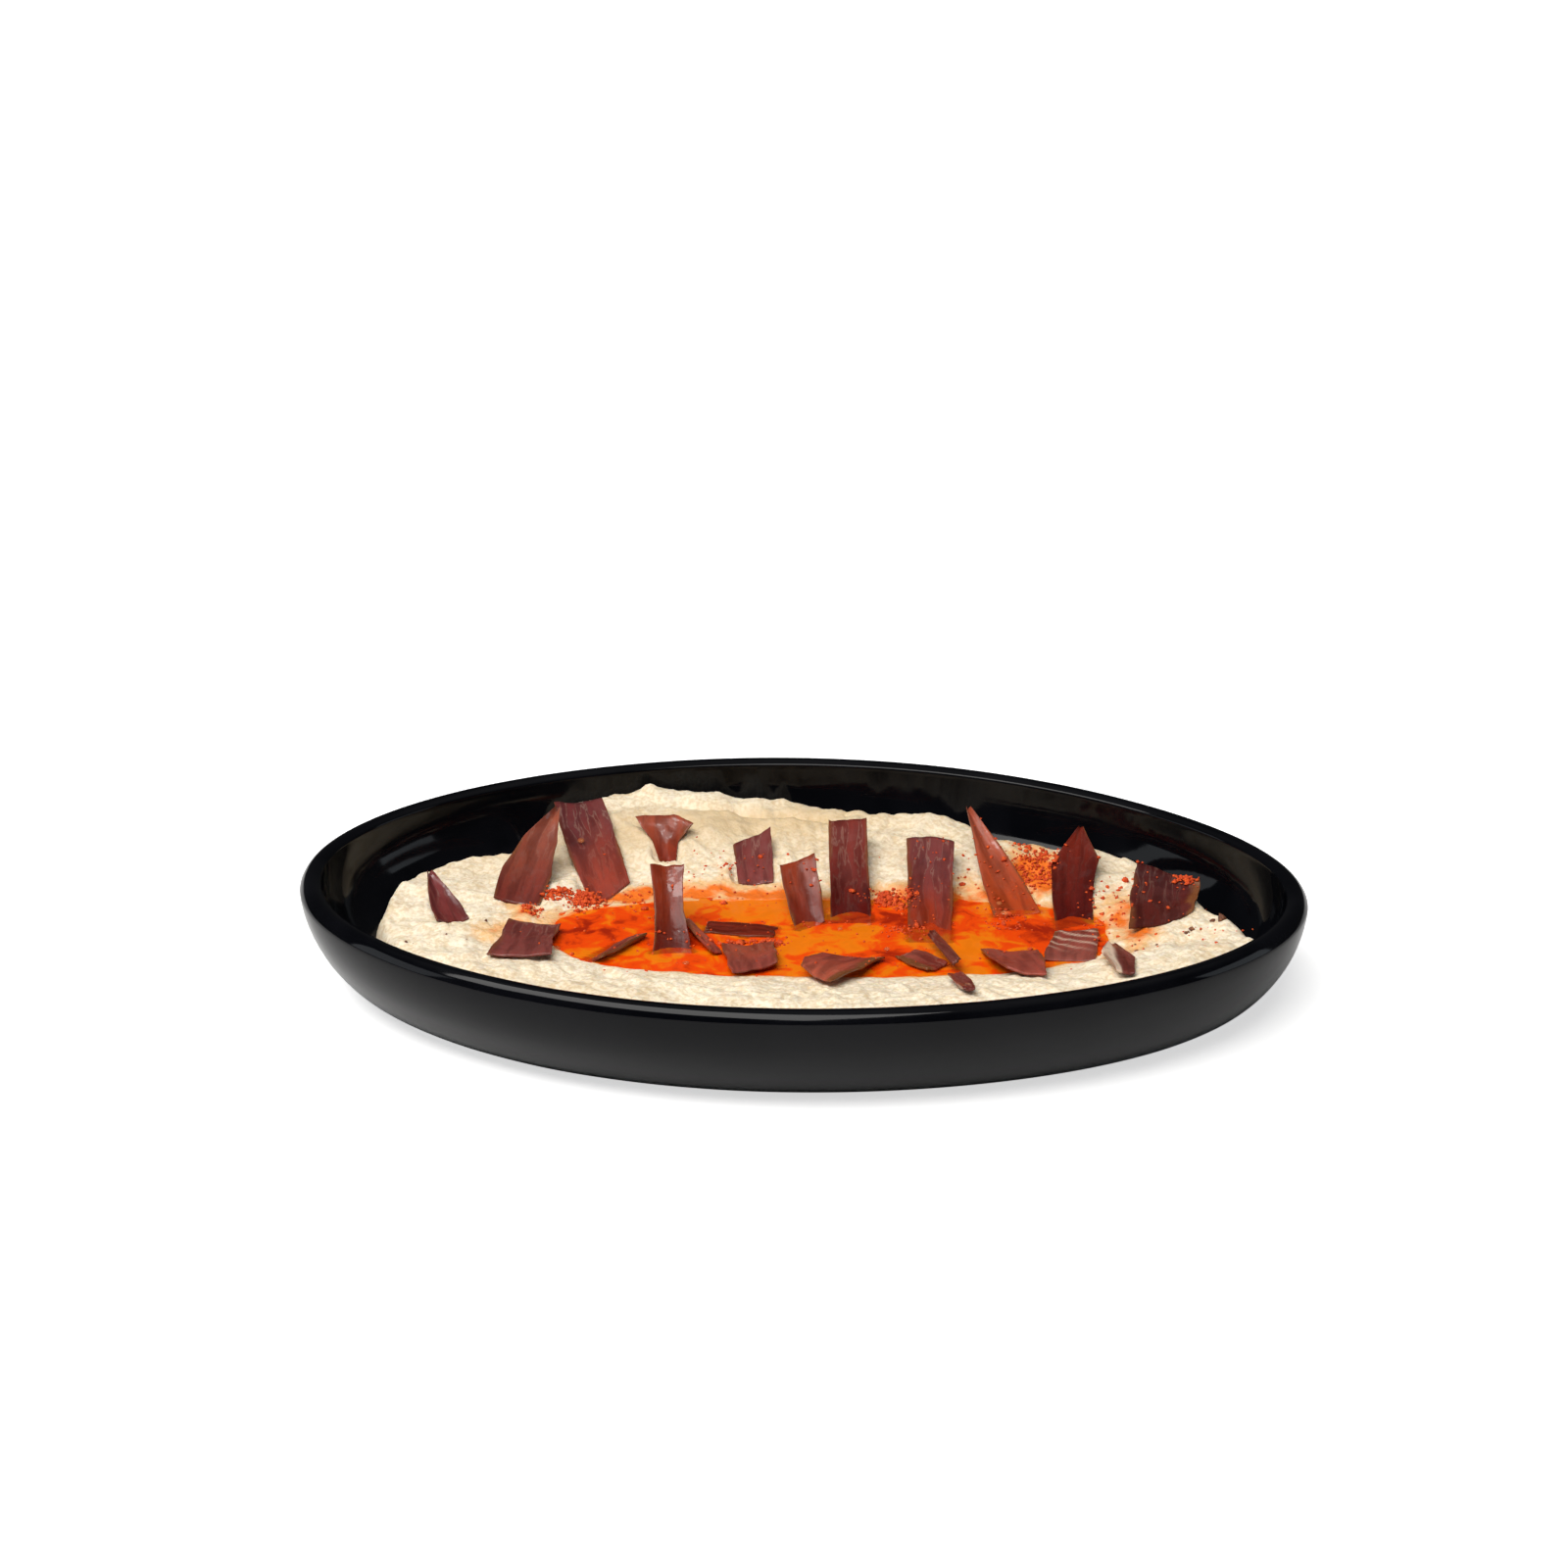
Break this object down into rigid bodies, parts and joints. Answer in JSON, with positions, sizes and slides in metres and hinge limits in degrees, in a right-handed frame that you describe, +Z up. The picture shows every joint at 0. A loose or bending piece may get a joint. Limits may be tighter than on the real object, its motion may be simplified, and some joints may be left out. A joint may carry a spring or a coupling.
{
  "type": "dish of hummus",
  "caption": "Oval black glazed dish filled with swept hummus round a pool of paprika oil, set with thin shavings of cured meat.",
  "frame": {"origin": "middle of the box round the dish, on the surface that it stands on", "axes": "+X along the length of the dish, +Y towards its back, away from the side where the hummus reaches the rim, +Z up"},
  "size_m": [0.2379, 0.153, 0.0303],
  "materials": {
    "black_glaze": "gloss",
    "hummus": "matte",
    "paprika_oil": "gloss",
    "cured_meat": "satin"
  },
  "bodies": {
    "root": {"dish": "black_glaze", "hummus": "hummus", "oil": "paprika_oil", "shaving_01": "cured_meat", "shaving_02": "cured_meat", "shaving_03": "cured_meat", "shaving_04": "cured_meat", "shaving_05": "cured_meat", "shaving_06": "cured_meat", "shaving_07": "cured_meat", "shaving_08": "cured_meat", "shaving_09": "cured_meat", "shaving_10": "cured_meat", "shaving_11": "cured_meat", "shaving_12": "cured_meat", "shaving_13": "cured_meat", "shaving_14": "cured_meat", "shaving_15": "cured_meat", "shaving_16": "cured_meat", "shaving_17": "cured_meat", "shaving_18": "cured_meat", "shaving_19": "cured_meat", "shaving_20": "cured_meat", "shaving_21": "cured_meat", "shaving_22": "cured_meat", "shaving_23": "cured_meat", "shaving_24": "cured_meat"}
  },
  "joints": []
}
